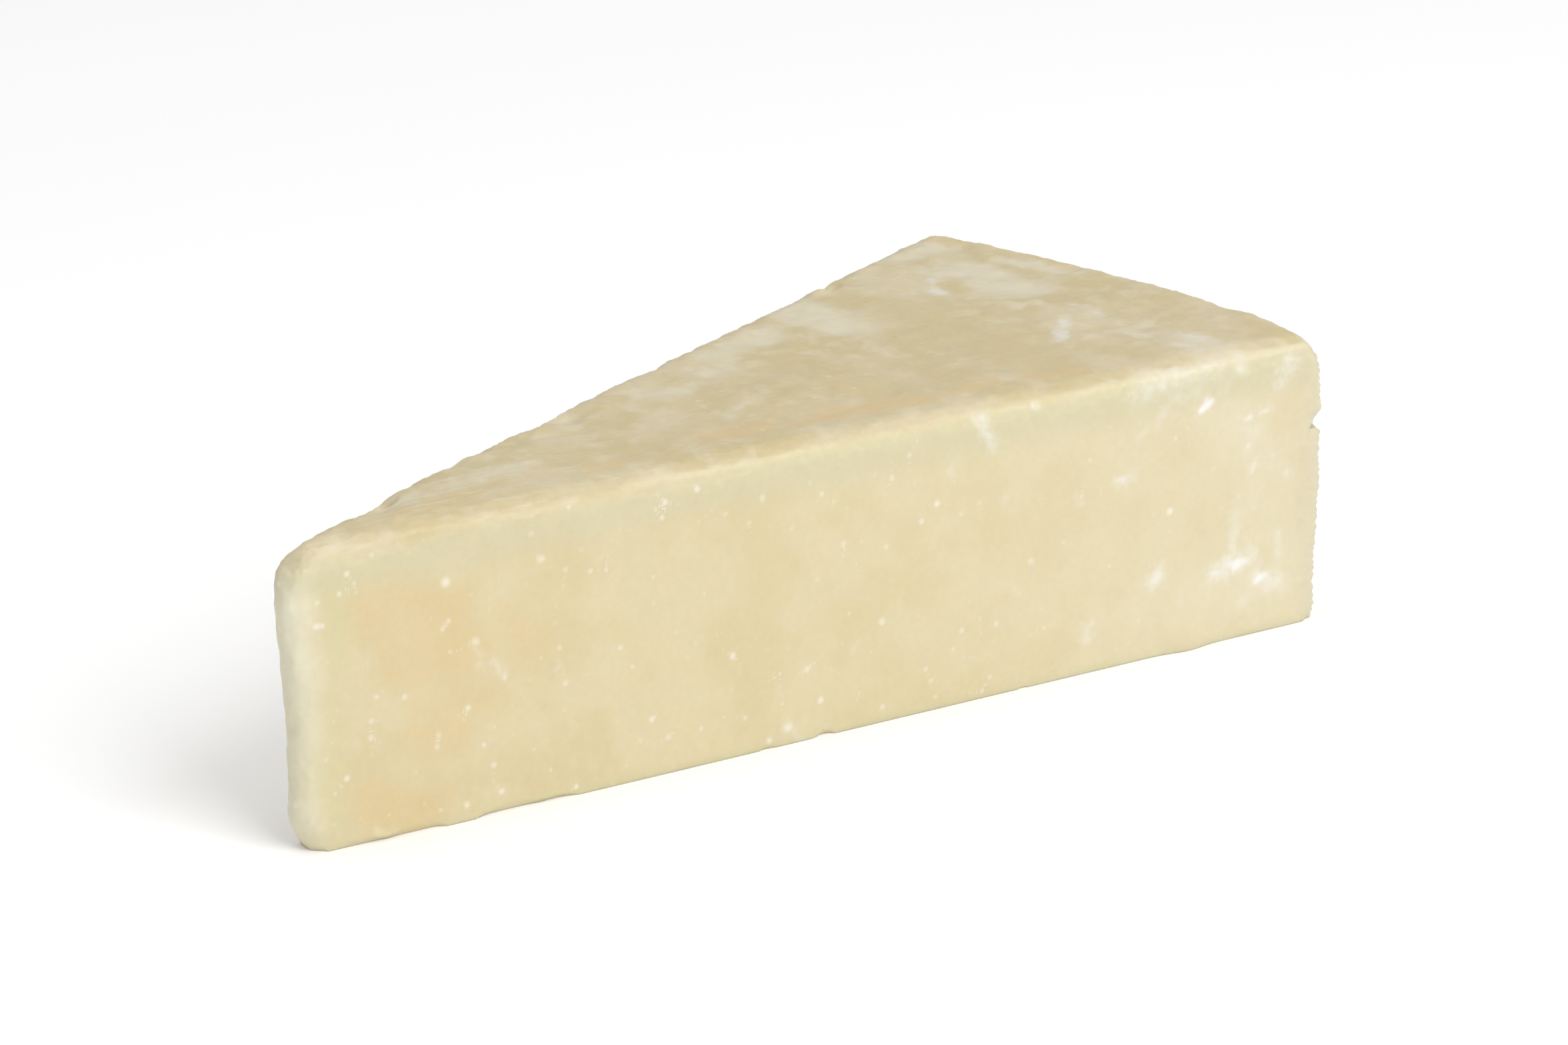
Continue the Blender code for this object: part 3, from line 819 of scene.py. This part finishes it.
def cheeseMaterial():
    look, shares, swings = cheeseLook, laying["shares"], laying["swings"]
    n = Nodes("pecorino paste and rind")

    def texture(name, coordinates=None):
        return n.noise(*laying["noises"][name], coordinates)

    def ramp(name, value):
        return n.ramp(value, *laying["ramps"][name])

    def around(value, amount):
        # a noise turned to swing by that much to both sides of nothing
        return n.times(n.math("SUBTRACT", value, 0.5), amount)

    def band(name, value):
        start, full, fade, end = laying["bands"][name]
        return n.times(n.ramp(value, start, full), n.opposite(n.ramp(value, fade, end)))

    lumps, patches, fine = texture("lumps"), texture("patches"), texture("fine")

    def mark(name):
        # a field of strokes with an uneven border
        swing = n.plus(around(lumps, swings["mark"]), around(patches, swings["mark"]))
        return ramp("mark", n.plus(n.field(name), swing))

    # the same place with its length along the cut drawn together, for streaks that run that way
    turned = n.add("ShaderNodeVectorRotate", {"Vector": n.coordinates, "Angle": half}, rotation_type="Z_AXIS")
    drawn = n.add("ShaderNodeVectorMath", {0: turned.outputs[0], 1: laying["drawTogether"]}, operation="MULTIPLY")
    streaks, broadStreaks = texture("streaks", drawn.outputs[0]), texture("broadStreaks", drawn.outputs[0])
    tip = n.opposite(ramp("behindTip", n.field("noseDepth")))
    waver = n.plus(around(lumps, swings["lumps"]), around(patches, swings["patches"]))
    streaky = n.times(around(broadStreaks, swings["streaks"]), n.plus(tip, shares["streaksBehindTip"]))
    edge = n.plus(waver, streaky)
    depth = n.plus(n.field("topDepth"), n.times(edge, shares["edgeOnTop"]))
    warm, pale, dark, green = mark("warm"), mark("pale"), mark("dark"), mark("green")

    # paste
    # painted light: towards the tip the paste turns to the lighter nose colour, which evens out the shade on the
    # rounded nose
    nose = n.opposite(ramp("behindNose", n.plus(n.field("noseDepth"), waver)))
    base = n.mix(ramp("deepPaste", lumps), look["paste"], look["pasteDeep"])
    for value, amount, over in (
        (ramp("paleEnd", n.field("noseDepth")), "paleEnd", "pastePale"),
        (ramp("palePatch", patches), "palePatch", "pastePale"),
        (pale, "pale", "pastePale"),
        (green, "green", "pasteGreen"),
        (warm, "warm", "pasteWarm"),
        (nose, "nose", "nose"),
        # painted shade: a darker band under the rind, over the paste's own greener tone there
        (band("underRindAndShade", depth), "underRindAndShade", "underRindAndShade"),
    ):
        base = n.mix(n.times(value, shares[amount]), base, look[over])

    # rind
    rind = n.mix(ramp("lightRind", lumps), look["rindDark"], look["rind"])
    for value, amount, over in (
        (ramp("rindPatch", patches), "rindPatch", "rindPale"),
        (pale, "rindPale", "rindPale"),
        (dark, "rindDark", "rindDark"),
        (warm, "rindWarm", "rindWarm"),
    ):
        rind = n.mix(n.times(value, shares[amount]), rind, look[over])
    for name, over in (("paleStreak", "rindPale"), ("darkStreak", "rindDark")):
        atTip, everywhere = shares[name]
        amount = n.plus(n.times(tip, atTip), everywhere)
        rind = n.mix(n.times(ramp(name, streaks), amount), rind, look[over])
    sharp, soft = n.opposite(ramp("sharpRind", depth)), n.opposite(ramp("softRind", depth))
    topRind = n.plus(n.times(soft, tip), n.times(sharp, n.opposite(tip)))
    rimDepth = n.plus(n.field("rimDepth"), n.times(edge, shares["edgeOnRim"]))
    skin = n.math("MAXIMUM", topRind, n.opposite(ramp("rimRind", rimDepth)))
    # painted highlight: a broken pale line along the rind's edge, over the lip's own paler colour
    line = n.times(band("rindLine", depth), ramp("brokenLine", broadStreaks))
    body = n.mix(skin, base, rind)
    body = n.mix(n.times(n.field("corner"), shares["corner"]), body, look["corner"])
    body = n.mix(n.times(line, shares["rindLine"]), body, look["rindLine"])

    # bloom and specks
    flecks = n.plus(around(texture("flecks"), swings["flecks"]), around(patches, swings["fleckPatches"]))
    bloom = ramp("bloom", n.plus(n.field("bloom"), flecks))
    bloom = n.times(bloom, ramp("bloomHold", n.field("bloom")))
    body = n.mix(bloom, body, n.mix(skin, look["bloom"], look["rindBloom"]))
    away = n.add("ShaderNodeVectorMath", {0: n.field("speckOffset", "Vector")}, operation="LENGTH").outputs["Value"]
    away = n.plus(away, around(texture("speckRim"), swings["speckRim"]))
    near = n.math("LESS_THAN", n.field("speckDistance"), laying["speckReach"])
    speck = n.times(n.times(n.opposite(ramp("speck", away)), near), n.field("speckStrength"))
    body = n.mix(speck, body, n.mix(skin, look["speck"], look["rindBloom"]))

    # fine mottling, shine and grain
    body = n.mix(1.0, body, n.span(fine, laying["noiseSpan"], look["mottle"]), "MULTIPLY")
    height = n.plus(n.times(fine, shares["fineBump"]), n.times(texture("pores"), shares["poreBump"]))
    height = n.plus(height, n.times(texture("swells"), shares["swellBump"]))
    bump = n.add("ShaderNodeBump", {"Height": height, "Strength": look["bump"], "Distance": look["bumpDepth"]})
    shader = n.add("ShaderNodeBsdfPrincipled", {
        "Base Color": body, "Roughness": n.span(patches, laying["noiseSpan"], look["roughness"]),
        "Normal": bump.outputs["Normal"], **look["inside"],
    })
    n.add("ShaderNodeOutputMaterial", {"Surface": shader.outputs[0]})
    return n.material


cheese.data.materials.append(cheeseMaterial())
selectOnly(cheese)
bpy.ops.object.shade_smooth()
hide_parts("cheese_wedge")
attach(cheese, "root")
print("wedge dressed")


# floor
floorLook = {"size": 6.0, "colour": (0.9, 0.9, 0.9, 1.0), "roughness": 0.9, "glow": 0.1}


def plainMaterial(name, look):
    n = Nodes(name)
    shader = n.add("ShaderNodeBsdfPrincipled", {
        "Base Color": look["colour"], "Roughness": look["roughness"], "Emission Color": look["colour"],
        "Emission Strength": look["glow"],
    })
    n.add("ShaderNodeOutputMaterial", {"Surface": shader.outputs[0]})
    return n.material


bpy.ops.object.select_all(action="DESELECT")
bpy.ops.mesh.primitive_plane_add(size=floorLook["size"], location=(0, 0, 0))
floor = bpy.context.object
floor.name = "floor"
floor.data.materials.append(plainMaterial("white floor", floorLook))

# light
lights = [
    {"name": "key", "place": (-0.08, -0.95, 0.88), "aim": (0, 0, 0.02), "size": 0.8, "power": 10.6},
    {"name": "overhead", "place": (0.1, 0.1, 1.4), "aim": (0, 0, 0), "size": 1.4, "power": 6},
]
for entry in lights:
    data = bpy.data.lights.new(entry["name"], "AREA")
    data.shape = "SQUARE"
    data.size = entry["size"]
    data.energy = entry["power"]
    lamp = bpy.data.objects.new(entry["name"], data)
    scene.collection.objects.link(lamp)
    lamp.location = entry["place"]
    aim = Vector(entry["aim"]) - Vector(entry["place"])
    lamp.rotation_mode = "QUATERNION"
    lamp.rotation_quaternion = aim.to_track_quat("-Z", "Y")

room = {"Color": (1, 1, 1, 1), "Strength": 0.5}
world = bpy.data.worlds.new("white room")
scene.world = world
world.use_nodes = True
for name, value in room.items():
    world.node_tree.nodes["Background"].inputs[name].default_value = value
scene.view_settings.view_transform = "Standard"
scene.view_settings.look = "None"
print("floor and light placed")
